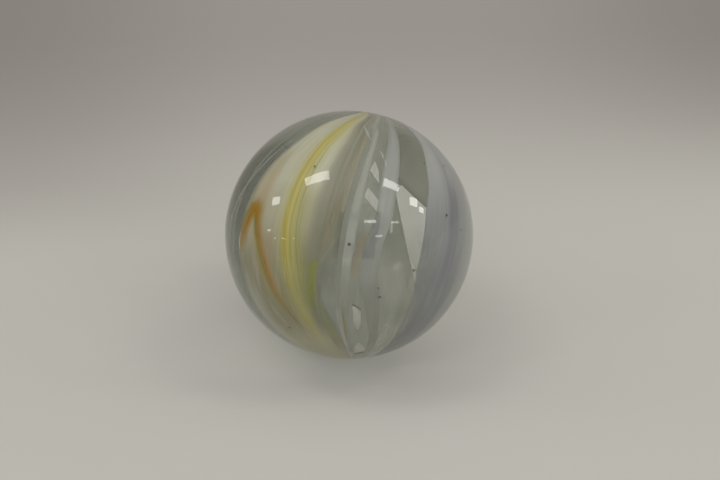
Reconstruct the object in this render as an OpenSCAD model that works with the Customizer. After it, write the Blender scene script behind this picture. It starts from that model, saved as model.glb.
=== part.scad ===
// Glass marble: one ball of clear glass with ribbons of white glass and streaks of
// coloured glass melted in just under its surface. All of it is fused into one piece.
//
// Frame: the origin is the centre of the ball, +Z is up as it lies and -Y is the side
// that shows the wide ribbon. The ribbons run from pole to pole of the swirl, whose axis
// leans back from upright. Longitudes go round that axis: 0 faces -Y, and +90 faces +X.
//
// A ribbon's edge is the circle where a plane cuts the ball. The planes of all the edges
// are alike: each leans the same way and is bowed by the same angle, and is turned about
// the swirl's axis. Such edges wind round the ball and never cross.

/* [Ball] */
// Diameter of the ball
ball_d = 70; // [40:1:100]
// How far the swirl's axis leans back from upright, in degrees
swirl_tilt = 32; // [0:1:90]

/* [Swirl] */
// Lean of a ribbon's edge from its meridian at the swirl's equator, in degrees
ribbon_lean = 10; // [4:1:14]
// Bow of a ribbon's edge: 0 is a great circle, in degrees
ribbon_bow = 10; // [4:1:12]
// Clear eye where the ribbons end at the top pole, as an angle from the axis
top_eye = 21; // [21:1:35]
// Clear eye where the ribbons end at the bottom pole, as an angle from the axis
bottom_eye = 8; // [6:1:30]

/* [Glass layers] */
// Clear glass over the ribbons
cover = 1.2; // [0.4:0.1:3]
// Thickness of the white ribbons
ribbon_t = 1; // [0.7:0.1:2]
// Thickness of the grey veil beside the wide ribbon
veil_t = 0.6; // [0.5:0.1:2]
// Thickness of the coloured streaks, which lie in the ribbons' outer face
streak_t = 0.4; // [0.2:0.05:0.45]

/* [Front ribbons] */
// Longitude where the wide ribbon starts
wide_start = -55; // [-80:1:-30]
// Width of the wide ribbon, in degrees of longitude, as are all widths and gaps below
wide_w = 43; // [36:1:50]
// Width of the grey veil, which joins on to the wide ribbon
veil_w = 8; // [4:0.5:12]
// Clear gap before the narrow ribbon
narrow_gap = 2.8; // [1:0.1:8]
// Width of the narrow ribbon
narrow_w = 3.5; // [2:0.5:8]
// Clear gap before the middle ribbon
middle_gap = 7.7; // [2:0.1:12]
// Width of the middle ribbon
middle_w = 8; // [4:0.5:14]
// Clear window before the right ribbon
right_gap = 18.5; // [6:0.5:24]
// Width of the right ribbon
right_w = 45.5; // [30:0.5:54]

/* [Back ribbons] */
// Clear gap before the side ribbon
side_gap = 16; // [6:1:20]
// Width of the side ribbon
side_w = 24; // [10:1:30]
// Clear gap between the side ribbon and the branch, which is the first back ribbon
branch_gap = 20; // [4:1:26]
// Width of the branch
branch_w = 18.7; // [8:0.1:24]
// Lean of the branch, which climbs to the second back ribbon and joins on to its right edge
branch_lean = 42; // [36:1:46]
// Lowest latitude of the branch
branch_low = -20; // [-24:1:-6]
// Clear gap between the branch and the second back ribbon where they cross the equator
back_2_gap = 8.8; // [6:0.1:12]
// Width of the second back ribbon, which carries the slits
back_2_w = 17; // [12:0.5:18]
// Clear gap before the third and the fourth back ribbon
back_gap = [2.5, 3]; // [1:0.5:4]
// Width of the third and the fourth back ribbon
back_w = [8, 14]; // [4:0.5:16]
// Clear gap before the left ribbon
left_gap = 8; // [6:0.5:12]
// Width of the left ribbon
left_w = 14; // [6:1:20]
// Clear gap between the fine thread and the wide ribbon
thread_gap = 9; // [3:0.5:14]
// Width of the fine thread of white glass
thread_w = 1.5; // [1:0.1:3]

/* [Slits] */
// How far right of the second back ribbon each slit's line crosses the equator
slit_back = [0.8, 5.9, 9.5]; // [0:0.1:12]
// Width of the slits, which lean as the branch does
slit_w = 1.6; // [0.8:0.1:2]
// Lowest latitude of each slit
slit_low = [4.5, 9.7, 13.5]; // [3:0.1:15]
// Highest latitude of each slit
slit_high = [9.6, 14.5, 16.5]; // [6:0.1:18]

/* [Yellow streaks] */
// Yellow streak: distance in from the wide ribbon's left edge
yellow_in = 22.6; // [18:0.2:24]
// Width of the yellow streak
yellow_w = 3; // [1.5:0.1:4]
// Lowest latitude that the yellow streaks reach
yellow_low = -25; // [-27:1:-10]
// Clear white between the yellow streak and the pale one
pale_gap = 2; // [1:0.1:3]
// Width of the pale yellow streak
pale_w = 1.6; // [1:0.1:2.5]
// Highest latitude that the pale yellow streak reaches
pale_high = 35; // [10:1:50]

/* [Lime streak] */
// Clear white between the pale yellow streak and the lime one
lime_gap = 3.3; // [1:0.1:5]
// Width of the lime streak
lime_w = 4; // [2:0.1:5]
// Lowest latitude of the lime streak
lime_low = -48; // [-60:1:-30]
// Highest latitude of the lime streak
lime_high = -12; // [-20:1:0]

/* [Amber streak] */
// Width of the amber streak
amber_w = 2.4; // [1.2:0.1:3]
// Long leg: distance in from the wide ribbon's left edge at the equator
amber_in = 10.8; // [9:0.1:12]
// Long leg: lean, which is against that of the ribbons
amber_lean = -7; // [-9:0.5:-3]
// Lowest latitude of the long leg
amber_low = -44; // [-48:1:-30]
// Latitude of the top of the hook, where its two legs meet
amber_top = 15; // [10:1:17]
// Short leg: distance in from the wide ribbon's left edge at the equator
hook_in = 1.4; // [1:0.1:2]
// Short leg: lean
hook_lean = 27; // [25:0.5:29]
// Lowest latitude of the short leg
hook_low = -2; // [-6:1:4]

/* [Tan streak] */
// Tan streak: distance in from the veil's left edge
tan_in = 4; // [2:0.1:5]
// Width of the tan streak
tan_w = 2.4; // [1:0.1:3]
// Lowest latitude of the tan streak
tan_low = 2; // [-20:1:10]
// Highest latitude of the tan streak
tan_high = 52; // [30:1:60]

/* [Hidden] */

$fn = 128;

ball_r = ball_d / 2;
ribbon_r = ball_r - cover;
// Latitude of the swirl's top pole, in degrees
pole = 90;
// Half-spaces are cubes this large, which reach past the ball on every side
reach = ball_d;

// Each ribbon's span of longitude: they follow one another round the ball
wide = [wide_start, wide_start + wide_w];
veil = [wide[1], wide[1] + veil_w];
narrow = next_span(veil, narrow_gap, narrow_w);
middle = next_span(narrow, middle_gap, middle_w);
right = next_span(middle, right_gap, right_w);
side = next_span(right, side_gap, side_w);
branch = next_span(side, branch_gap, branch_w);
back_2 = next_span(branch, back_2_gap, back_2_w);
back_3 = next_span(back_2, back_gap[0], back_w[0]);
back_4 = next_span(back_3, back_gap[1], back_w[1]);
left = next_span(back_4, left_gap, left_w);
thread = [wide[0] - thread_gap - thread_w, wide[0] - thread_gap];
plain_spans = [wide, narrow, middle, right, side, back_3, back_4, left, thread];

// Each streak's span of longitude
yellow = [wide[0] + yellow_in, wide[0] + yellow_in + yellow_w];
pale = next_span(yellow, pale_gap, pale_w);
lime = next_span(pale, lime_gap, lime_w);
amber_leg = [wide[0] + amber_in, wide[0] + amber_in + amber_w];
amber_hook = [wide[0] + hook_in, wide[0] + hook_in + amber_w];
tan_span = [veil[0] + tan_in - tan_w / 2, veil[0] + tan_in + tan_w / 2];

// The span that follows another one after a clear gap
function next_span(before, gap, w) = [before[1] + gap, before[1] + gap + w];

// Tips the swirl's own frame, whose Z is its axis, back into the ball's frame
module in_swirl() {
    rotate([-swirl_tilt, 0, 0]) children();
}

// All that lies beyond the edge that crosses the swirl's equator at this longitude
module beyond(longitude, lean, bow) {
    rotate([0, 0, longitude]) rotate([0, lean, 0]) rotate([0, 0, -bow])
        translate([ball_r * sin(bow), -reach, -reach])
            cube([reach, 2 * reach, 2 * reach]);
}

// Layer of the ball between two latitudes of the ribbons' outer face
module between(low, high) {
    translate([-reach, -reach, ribbon_r * sin(low)])
        cube([2 * reach, 2 * reach, ribbon_r * (sin(high) - sin(low))]);
}

// Curved strip under the cover: it fills a span of longitude between two latitudes.
// The place that a strip leaves in a ribbon is cut past the ribbon's face, to outer_r
module strip(span, t, low = bottom_eye - pole, high = pole - top_eye,
             lean = ribbon_lean, bow = ribbon_bow, outer_r = ribbon_r) {
    intersection() {
        difference() {
            sphere(outer_r);
            sphere(ribbon_r - t);
        }
        difference() {
            beyond(span[0], lean, bow);
            beyond(span[1], lean, bow);
        }
        between(low, high);
    }
}

module white_strip(span) {
    color("ivory") in_swirl() strip(span, ribbon_t);
}

module yellow_strip(outer_r = ribbon_r, high = pole - top_eye) {
    strip(yellow, streak_t, low = yellow_low, high = high, outer_r = outer_r);
}

module pale_strip(outer_r = ribbon_r) {
    strip(pale, streak_t, low = yellow_low, high = pale_high, outer_r = outer_r);
}

module lime_strip(outer_r = ribbon_r) {
    strip(lime, streak_t, low = lime_low, high = lime_high, outer_r = outer_r);
}

// Hook of two legs that meet at its top
module amber_strip(outer_r = ribbon_r) {
    strip(amber_leg, streak_t, low = amber_low, high = amber_top, lean = amber_lean,
          outer_r = outer_r);
    strip(amber_hook, streak_t, low = hook_low, high = amber_top, lean = hook_lean, bow = 0,
          outer_r = outer_r);
}

module tan_strip(outer_r = ribbon_r) {
    strip(tan_span, streak_t, low = tan_low, high = tan_high, outer_r = outer_r);
}

// Branch of white glass: it leans more than the ribbons, up to the second back ribbon's edge
module branch_strip() {
    difference() {
        strip(branch, ribbon_t, low = branch_low, high = pole - branch_lean,
              lean = branch_lean, bow = 0);
        beyond(back_2[0], ribbon_lean, ribbon_bow);
    }
}

// Second back ribbon, with its clear slits cut right through
module slit_strip() {
    difference() {
        strip(back_2, ribbon_t);
        for (i = [0 : len(slit_back) - 1])
            strip([back_2[0] - slit_back[i] - slit_w, back_2[0] - slit_back[i]],
                  ribbon_t + cover, low = slit_low[i], high = slit_high[i],
                  lean = branch_lean, bow = 0, outer_r = ball_r);
    }
}

// All the coloured streaks, for the places that they leave in other glass. The yellow one
// runs out at the ribbons' top end, so its place is cut on past that, up to the pole
module streaks(outer_r = ribbon_r, high = pole - top_eye) {
    yellow_strip(outer_r, high);
    pale_strip(outer_r);
    lime_strip(outer_r);
    amber_strip(outer_r);
    tan_strip(outer_r);
}

// The ball, less the places that the other glass fills
module clear_glass() {
    color([0.86, 0.9, 0.87, 0.35])
        difference() {
            sphere(ball_r);
            in_swirl() {
                for (span = plain_spans)
                    strip(span, ribbon_t);
                branch_strip();
                slit_strip();
                strip(veil, veil_t);
                streaks();
            }
        }
}

// White ribbon that carries the yellow, lime and amber streaks in its outer face
module wide_ribbon() {
    color("ivory")
        in_swirl()
            difference() {
                strip(wide, ribbon_t);
                streaks(outer_r = ball_r, high = pole);
            }
}

// Thin, half-clear glass that carries the tan streak in its outer face
module grey_veil() {
    color("lightgray")
        in_swirl()
            difference() {
                strip(veil, veil_t);
                streaks(outer_r = ball_r, high = pole);
            }
}

module narrow_ribbon() {
    white_strip(narrow);
}

module middle_ribbon() {
    white_strip(middle);
}

module right_ribbon() {
    white_strip(right);
}

module side_ribbon() {
    white_strip(side);
}

module back_ribbon_1() {
    color("ivory") in_swirl() branch_strip();
}

module back_ribbon_2() {
    color("ivory") in_swirl() slit_strip();
}

module back_ribbon_3() {
    white_strip(back_3);
}

module back_ribbon_4() {
    white_strip(back_4);
}

module left_ribbon() {
    white_strip(left);
}

module fine_thread() {
    white_strip(thread);
}

module yellow_streak() {
    color("gold") in_swirl() yellow_strip();
}

module pale_yellow_streak() {
    color("khaki") in_swirl() pale_strip();
}

module lime_streak() {
    color("yellowgreen") in_swirl() lime_strip();
}

module amber_streak() {
    color("darkorange") in_swirl() amber_strip();
}

module tan_streak() {
    color("tan") in_swirl() tan_strip();
}

clear_glass();
wide_ribbon();
grey_veil();
narrow_ribbon();
middle_ribbon();
right_ribbon();
side_ribbon();
back_ribbon_1();
back_ribbon_2();
back_ribbon_3();
back_ribbon_4();
left_ribbon();
fine_thread();
yellow_streak();
pale_yellow_streak();
lime_streak();
amber_streak();
tan_streak();
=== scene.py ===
"""Glass marble: a clear ball with ribbons of milk glass and drawn coloured glass under its skin.

The swirl's own frame has Z along its axis. Longitude 0 faces the front and +90 faces +X.
Every ribbon lies along the swirl's family of edges, so most shapes are a function of latitude
and of the longitude at which they cross the swirl's equator, both in degrees.
"""

import bpy
import numpy as np
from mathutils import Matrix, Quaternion, Vector


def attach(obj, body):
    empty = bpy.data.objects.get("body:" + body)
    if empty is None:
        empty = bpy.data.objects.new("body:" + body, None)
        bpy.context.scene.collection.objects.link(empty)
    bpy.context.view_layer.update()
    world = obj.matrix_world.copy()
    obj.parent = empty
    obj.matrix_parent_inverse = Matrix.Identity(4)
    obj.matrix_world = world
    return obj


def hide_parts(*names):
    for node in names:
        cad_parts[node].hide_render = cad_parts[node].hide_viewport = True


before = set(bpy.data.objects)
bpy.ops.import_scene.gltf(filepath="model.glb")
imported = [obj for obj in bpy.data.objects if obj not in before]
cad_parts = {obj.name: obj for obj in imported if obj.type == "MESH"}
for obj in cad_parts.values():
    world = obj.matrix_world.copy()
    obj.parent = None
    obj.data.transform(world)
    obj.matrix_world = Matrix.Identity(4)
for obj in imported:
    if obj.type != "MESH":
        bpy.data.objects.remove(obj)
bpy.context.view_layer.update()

BALL_R = 0.035
COVER = 0.0012
RIBBON_R = BALL_R - COVER  # radius of the ribbons' outer face
TILT = np.radians(32)
LEAN = np.radians(10)
BOW = np.radians(10)
BRANCH_LEAN = np.radians(42)
FLOOR_Z = -BALL_R
LOW_END, HIGH_END = -85.0, 80.0  # latitudes of a ribbon's ends
TIP = 14.0  # degrees over which a ribbon narrows and thins at each end
UNIT = 60.0  # degrees of longitude or latitude to one unit of the swirl map


def add_object(name, data):
    """A new object in the scene, at its origin."""
    obj = bpy.data.objects.new(name, data)
    bpy.context.scene.collection.objects.link(obj)
    return obj


# ---- camera


def make_camera():
    """Camera 32 degrees above the ball, turned a little so that the ball sits left of centre."""
    elevation = np.radians(32)
    distance = 0.3096
    frame_px, focal_px = 720, 1093.0
    right_px, down_px = 10.75, 5.05
    ahead = np.array([0.0, np.cos(elevation), -np.sin(elevation)])
    up = np.array([0.0, np.sin(elevation), np.cos(elevation)])
    aim = distance * (right_px * np.array([1.0, 0.0, 0.0]) - down_px * up) / focal_px
    data = bpy.data.cameras.new("studio_camera")
    data.sensor_width = 36.0
    data.lens = focal_px / frame_px * data.sensor_width
    data.clip_start, data.clip_end = 0.01, 20
    cam = add_object("studio_camera", data)
    cam.location = -distance * ahead
    cam.rotation_euler = Vector(aim + distance * ahead).to_track_quat("-Z", "Y").to_euler()
    bpy.context.scene.camera = cam


make_camera()


# ---- the swirl


def wave(t, seed, low, high, terms=5):
    """Smooth wobble between about -1 and 1: a sum of sines. The seed sets pitches and phases."""
    rng = np.random.default_rng(seed)
    total = 0.0
    for pitch, phase in zip(rng.uniform(low, high, terms), rng.uniform(0, 2 * np.pi, terms)):
        total = total + np.sin(pitch * np.asarray(t) * 2 * np.pi + phase)
    return total / terms**0.5 / 1.4


def smooth(x, low, high):
    """Smooth step: 0 at low, 1 at high, which may lie on either side."""
    t = np.clip((np.asarray(x, float) - low) / (high - low), 0, 1)
    return t * t * (3 - 2 * t)


def between(x, low, low_full, high_full, high):
    """1 from low_full to high_full, and smoothly down to 0 at low and at high."""
    return smooth(x, low, low_full) * (1 - smooth(x, high_full, high))


def unit(vectors):
    """The same directions, each one long."""
    return vectors / np.linalg.norm(vectors, axis=-1, keepdims=True)


def turn(latitude):
    """Degrees by which an edge of the family has moved round the axis at a latitude.

    An edge is the circle of a plane that leans and is bowed: the turn is the arcsine of
    (cos bow sin lean cos colatitude + sin bow) over (its length times sin colatitude), less
    the same angle at no lean. Above latitude 62 it goes on as a logarithmic spiral. Drawing
    out the glass swung the edges a little more near both poles: by the square of the
    distance past latitudes 42 and -20."""
    span = np.hypot(np.cos(BOW) * np.cos(LEAN), np.sin(BOW))
    start = np.arctan2(np.sin(BOW), np.cos(BOW) * np.cos(LEAN))

    def plain(colat):
        rise = np.cos(BOW) * np.sin(LEAN) * np.cos(colat) + BALL_R / RIBBON_R * np.sin(BOW)
        return np.arcsin(np.clip(rise / (span * np.sin(colat)), -1, 1)) - start

    latitude = np.asarray(latitude, float)
    colat = np.radians(90 - latitude)
    join = np.radians(28)
    slope = (plain(join + 1e-4) - plain(join - 1e-4)) / 2e-4
    body = plain(np.clip(colat, join, np.radians(178)))
    spiral = plain(join) + slope * join * np.log(np.maximum(colat, 1e-4) / join)
    swing = 0.0042 * np.maximum(-20 - latitude, 0) ** 2 - 0.0125 * np.maximum(latitude - 42, 0) ** 2
    return np.degrees(np.where(colat < join, spiral, body)) + swing


def climb(latitude):
    """Degrees by which an edge of the branch moves round the axis: it is a great circle
    that leans by the branch's lean, so the arcsine of tan lean times tan latitude."""
    rise = np.tan(BRANCH_LEAN) * np.tan(np.radians(latitude))
    return np.degrees(np.arcsin(np.clip(rise, -1, 1)))


def drift(latitude):
    """Degrees by which the yellow glass has crept right of its family's edge: a sixth of the
    distance below latitude 5, eased in."""
    below = 5 - np.asarray(latitude, float)
    return 0.16 * (below + np.sqrt(below**2 + 64)) / 2


def on_swirl(longitude, latitude, radius):
    """Points in the ball's frame: longitude and latitude round the swirl, then leant back."""
    lon, lat = np.radians(longitude), np.radians(latitude)
    x = radius * np.cos(lat) * np.sin(lon)
    y = -radius * np.cos(lat) * np.cos(lon)
    z = radius * np.sin(lat) * np.ones_like(x)
    c, s = np.cos(TILT), np.sin(TILT)
    return np.stack([x, y * c + z * s, -y * s + z * c], -1)


def swirl_map(longitude, latitude):
    """The swirl map's two numbers at each point."""
    return np.stack([longitude, latitude], -1) / UNIT


def eased_path(points, count=160, reach=13):
    """A line through points, (count, 2): evenly spaced, then smoothed by a bell of that reach."""
    points = np.asarray(points, float)
    s = np.concatenate([[0], np.cumsum(np.hypot(*np.diff(points, axis=0).T))])
    t = np.linspace(0, s[-1], count)
    bell = np.hanning(reach) / np.hanning(reach).sum()
    half = reach // 2
    lines = []
    for values in points.T:
        line = np.interp(t, s, values)
        head = 2 * line[0] - line[half:0:-1]
        tail = 2 * line[-1] - line[-2 : -half - 2 : -1]
        lines.append(np.convolve(np.concatenate([head, line, tail]), bell, "valid"))
    return np.stack(lines, -1)


# Middle line of the amber hook, as longitude at the equator and latitude: up its short leg,
# over its top and down its long leg
HOOK = eased_path(
    [
        (-57.6, -9.5), (-56.4, -3.6), (-56.0, -0.5), (-54.9, 3.5), (-53.4, 7.0), (-51.9, 10.2),
        (-50.1, 12.6), (-48.4, 12.0), (-47.1, 9.0), (-45.9, 5.5), (-44.6, 1.5), (-43.1, -3.0),
        (-41.2, -8.5), (-39.3, -14.5), (-37.3, -20.5), (-35.3, -26.5), (-33.3, -32.0),
        (-31.0, -37.0), (-28.4, -42.0), (-25.5, -46.5), (-22.0, -50.5),
    ]
)
HOOK_WAY = np.linspace(0, 1, len(HOOK))
# Half width of the hook along its way: widest at its top, where the legs meet
HOOK_HALF = (
    1.5
    + 0.6 * smooth(HOOK_WAY, 0.35, 0.18)
    + 0.6 * np.exp(-(((HOOK_WAY - 0.26) / 0.047) ** 2))
    - 0.6 * smooth(HOOK_WAY, 0.63, 1.0)
)


def beside_hook(longitude, latitude):
    """Where points lie beside the amber hook: the distance from its middle line over its half
    width, the side, from -1 on the left to 1, and the way along it, from 0 to 1."""
    line_lon = HOOK[:, 0] + turn(HOOK[:, 1])
    squeeze = np.cos(np.radians(HOOK[:, 1]))
    lon = np.asarray(longitude + turn(latitude), float)[..., None] - line_lon
    lat = np.asarray(latitude, float)[..., None] - HOOK[:, 1]
    far = np.hypot(lon * squeeze, lat)
    near = np.argmin(far, -1)
    away = np.take_along_axis(far, near[..., None], -1)[..., 0] / HOOK_HALF[near]
    side = np.take_along_axis(lon, near[..., None], -1)[..., 0]
    return away, np.tanh(side / 0.3), HOOK_WAY[near]


# ---- meshes


def make_piece(name, verts, faces, maps, attributes=None):
    """A mesh object from arrays: vertices, faces as blocks of rows, the swirl map and point
    attributes. Vertices in no face are dropped. The faces are turned round if the volume
    that they close comes out negative."""
    corner = np.concatenate([block.ravel() for block in faces])
    used, corner = np.unique(corner, return_inverse=True)
    cuts = np.cumsum([block.size for block in faces])[:-1]
    faces = [part.reshape(-1, block.shape[1]) for part, block in zip(np.split(corner, cuts), faces)]
    verts, maps = verts[used], maps[used]
    volume = 0.0
    for block in faces:
        for i in range(1, block.shape[1] - 1):
            a, b, c = verts[block[:, 0]], verts[block[:, i]], verts[block[:, i + 1]]
            volume += np.einsum("ij,ij->", a, np.cross(b, c))
    if volume < 0:
        faces = [block[:, ::-1] for block in faces]
    corner = np.concatenate([block.ravel() for block in faces])
    mesh = bpy.data.meshes.new(name)
    mesh.from_pydata(verts.tolist(), [], [row for block in faces for row in block.tolist()])
    layer = mesh.uv_layers.new(name="swirl")
    layer.data.foreach_set("uv", maps[corner].astype(np.float32).ravel())
    for key, values in (attributes or {}).items():
        layer = mesh.attributes.new(key, "FLOAT", "POINT")
        layer.data.foreach_set("value", values[used].astype(np.float32).ravel())
    mesh.polygons.foreach_set("use_smooth", np.ones(len(mesh.polygons), bool))
    mesh.update()
    return add_object(name, mesh)


def closed_tubes(name, rings, maps, attributes=None):
    """Tubes as one mesh: rings is (tubes, stations, points round, 3), each ring is closed, each
    end is closed by a fan, and neighbouring rings are joined by quads."""
    n, m, k, _ = rings.shape
    index = np.arange(n * m * k).reshape(n, m, k)
    a, b = index[:, :-1], index[:, 1:]
    quads = np.stack([a, np.roll(a, -1, 2), np.roll(b, -1, 2), b], -1).reshape(-1, 4)

    def caps(values):
        """What each tube's two end points take: the mean round its first and its last ring."""
        return np.stack([values[:, 0].mean(1), values[:, -1].mean(1)], 1)

    tip = n * m * k + np.arange(2 * n).reshape(n, 2, 1)
    first, last = index[:, 0], index[:, -1]
    low = np.stack([np.roll(first, -1, 1), first, first * 0 + tip[:, 0]], -1).reshape(-1, 3)
    high = np.stack([last, np.roll(last, -1, 1), last * 0 + tip[:, 1]], -1).reshape(-1, 3)
    verts = np.concatenate([rings.reshape(-1, 3), caps(rings).reshape(-1, 3)])
    flat = np.concatenate([maps.reshape(-1, 2), caps(maps).reshape(-1, 2)])
    extra = {}
    for key, values in (attributes or {}).items():
        extra[key] = np.concatenate([values.ravel(), caps(values).ravel()])
    return make_piece(name, verts, [quads, np.concatenate([low, high])], flat, extra)


def sheet(name, outer, inner, maps, keep=None, attributes=None):
    """A closed shell between two grids of points, each (rows, columns, 3): faces over the cells
    that are kept on both grids, and walls along every border of those cells."""
    rows, cols, _ = outer.shape
    keep = np.ones((rows - 1, cols - 1), bool) if keep is None else keep
    top = np.arange(rows * cols).reshape(rows, cols)
    low = top + rows * cols
    i, j = np.nonzero(keep)
    ring = [(i, j), (i, j + 1), (i + 1, j + 1), (i + 1, j)]
    faces = [np.stack([face[cell] for cell in way], -1) for face, way in ((top, ring), (low, ring[::-1]))]
    wide = np.pad(keep, 1)
    here, before = wide[1:-1, 1:], wide[1:-1, :-1]
    above, below = wide[1:, 1:-1], wide[:-1, 1:-1]
    for border, p, q in (
        (here & ~before, (0, 0), (1, 0)),
        (before & ~here, (1, 0), (0, 0)),
        (above & ~below, (0, 1), (0, 0)),
        (below & ~above, (0, 0), (0, 1)),
    ):
        i, j = np.nonzero(border)
        a, b = (i + p[0], j + p[1]), (i + q[0], j + q[1])
        faces.append(np.stack([top[a], top[b], low[b], low[a]], -1))
    verts = np.concatenate([outer.reshape(-1, 3), inner.reshape(-1, 3)])
    flat = np.tile(maps.reshape(-1, 2), (2, 1))
    extra = {key: np.tile(values.ravel(), 2) for key, values in (attributes or {}).items()}
    obj = make_piece(name, verts, faces, flat, extra)
    obj.data.set_sharp_from_angle(angle=np.radians(50))
    return obj


def band(name, lon, lat, thick, seed, depth=0.0, keep=None):
    """A ribbon of glass from its grid of longitudes, (rows, columns), and its row latitudes.

    The outer face lies under the cover. The inner one rounds up to the edges by the root of
    the distance in from them, and waves by a tenth of the thickness. Towards both poles the
    ribbon thins and sinks a little."""
    rounding = 1.4  # degrees in from an edge to where the ribbon is full
    level = np.broadcast_to(lat[:, None], lon.shape)
    inward = np.minimum(lon - lon[:, :1], lon[:, -1:] - lon) * np.cos(np.radians(level))
    full = 0.25 + 0.75 * np.sqrt(np.clip(inward / rounding, 0, 1))
    full = full * (0.4 + 0.6 * body_of(lat))[:, None]
    ripple = 0.1 * wave(lon / 9.0 + 0.02 * level / UNIT, seed, 0.8, 3.0, 7)
    sink = 0.0012 * np.exp(-(((90 - level) / 16) ** 2))
    sink = sink + 0.0005 * np.exp(-(((90 + level) / 12) ** 2))
    outer = RIBBON_R - depth - sink
    inner = outer - thick * full * (0.9 + ripple)
    path = lon + turn(level)
    faces = [on_swirl(path, level, radius) for radius in (outer, inner)]
    places = {"inward": inward, **painted_places(lon, level)}
    return sheet(name, *faces, swirl_map(lon, level), keep, places)


def body_of(lat):
    """1 along a ribbon's body and 0 at its two ends, for the latitudes of its rows."""
    return between(lat, lat[0], lat[0] + TIP, lat[-1] - TIP, lat[-1])


def narrowing(lat):
    """A ribbon's width as a share of its full one: it narrows to a third towards both poles."""
    return 0.33 + 0.67 * body_of(lat)


def way_up(lat):
    """0 at a ribbon's low end and 1 at its high end."""
    return (lat - LOW_END) / (HIGH_END - LOW_END)


def crowded(count):
    """Places across a ribbon from -1 to 1, closest together at its edges."""
    return -np.cos(np.pi * np.linspace(0, 1, count))


def painted_places(lon, lat):
    """Places that the finishes paint by: the flow, which is the longitude less the drift of the
    yellow glass, full between longitudes -36 and -18, and the place beside the amber hook."""
    share = between(lon, -52, -36, -18, -10)
    away, side, way = beside_hook(lon, lat)
    return {"flow": lon - drift(lat) * share, "hook": away, "hook_side": side, "hook_way": way}


def ribbon(name, start, end, seed, thick=0.001, across=28, along=220, wobble=0.35, depth=0.0,
           edges=None):
    """A ribbon between two longitudes of the family, whose edges wobble by a smooth wave.

    A function of latitude may move its edges."""
    v = np.linspace(0, 1, along)
    lat = LOW_END + (HIGH_END - LOW_END) * v
    left, right = (side + wobble * wave(v, seed + i, 0.6, 4.0) for i, side in enumerate((start, end)))
    if edges is not None:
        left, right = edges(lat, left, right)
    middle, half = (left + right) / 2, (right - left) / 2 * narrowing(lat)
    lon = middle[:, None] + half[:, None] * crowded(across)
    return band(name, lon, lat, thick, seed + 2, depth)


def branch_band():
    """The branch: its edges climb as great circles, up to the second back ribbon's right edge.

    Its foot narrows in a rounded end."""
    lat = np.linspace(-21, 31.5, 150)
    foot = np.sqrt(smooth(lat, -21.5, -13))
    right, left = (start + climb(lat) - turn(lat) for start in (141, 159.6))
    left = np.minimum(left, 168.7)
    middle = (left + right) / 2
    half = np.maximum(left - right, 0.2) / 2 * (0.25 + 0.75 * foot)
    wobble = 0.2 * wave(lat / 60, 71, 0.6, 3.0)
    lon = (middle + wobble)[:, None] + half[:, None] * crowded(36)
    return band("back_band_1", lon, lat, 0.0008, 72, 0.00003)


# Slits through the second back ribbon, a list for each group of columns: latitudes, and the
# degrees round the axis of the right and the left side there. The second list holds two slits.
SLITS = [
    [(10.5, 13.4, 15.2), (173.3, 173.5, 174.3), (173.4, 175.6, 174.5)],
    [
        (-18.2, -17.7, -15.4, -14.5, 5.0, 7.3, 8.1, 10.3),
        (178.4, 177.8, 177.6, 179.3, 173.8, 173.4, 173.8, 175.7),
        (178.6, 179.2, 179.4, 179.5, 174.0, 175.9, 176.7, 175.9),
    ],
]


def slit_band():
    """The second back ribbon with its slits.

    Each list of slits has a group of columns of its own, at the straight lines between the
    slits' corners. The cells between its columns are left out where they are apart."""
    shut_w, open_w = 0.03, 0.2
    rows = (np.linspace(LOW_END, -22, 80), np.linspace(-22, 22, 220), np.linspace(22, HIGH_END, 80))
    lat = np.unique(np.concatenate(rows))
    slim = narrowing(lat)
    right = 168.0 - 4.5 * smooth(lat, 8.5, 13) + 0.3 * wave(way_up(lat), 81, 0.6, 4.0)
    left = 187.7 + 0.3 * wave(way_up(lat), 82, 0.6, 4.0)
    middle, half = (left + right) / 2, (left - right) / 2 * slim
    right, left = middle - half, middle + half
    marks, gaps = [right], []
    for i, (levels, rights, lefts) in enumerate(SLITS):
        low_side, high_side = (np.interp(lat, levels, side) - turn(lat) for side in (rights, lefts))
        low_limit, high_limit = right + (1.5 + 1.5 * i) * slim, left - (4.5 - 1.5 * i) * slim
        centre = np.clip((low_side + high_side) / 2, low_limit, high_limit)
        width = np.maximum(high_side - low_side, shut_w)
        marks += [centre - width / 2, centre + width / 2]
        gaps.append((width > open_w) & (lat > levels[0]) & (lat < levels[-1]))
    marks.append(left)
    counts, crowd = [6, 2, 4, 2, 12], 1.6
    columns = []
    for k, count in enumerate(counts):
        t = np.arange(count) / count
        if k == 0:
            t = t**crowd
        elif k == len(counts) - 1:
            t = 1 - (1 - t) ** crowd
        columns.append(marks[k][:, None] + (marks[k + 1] - marks[k])[:, None] * t)
    group = np.repeat(np.arange(len(counts)), counts)
    lon = np.concatenate([*columns, marks[-1][:, None]], 1)
    keep = np.ones((len(lat) - 1, lon.shape[1] - 1), bool)
    for i, gap in enumerate(gaps):
        keep[np.ix_(gap[:-1] & gap[1:], group == 2 * i + 1)] = False
    return band("back_band_2", lon, lat, 0.0007, 83, keep=keep)


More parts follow.
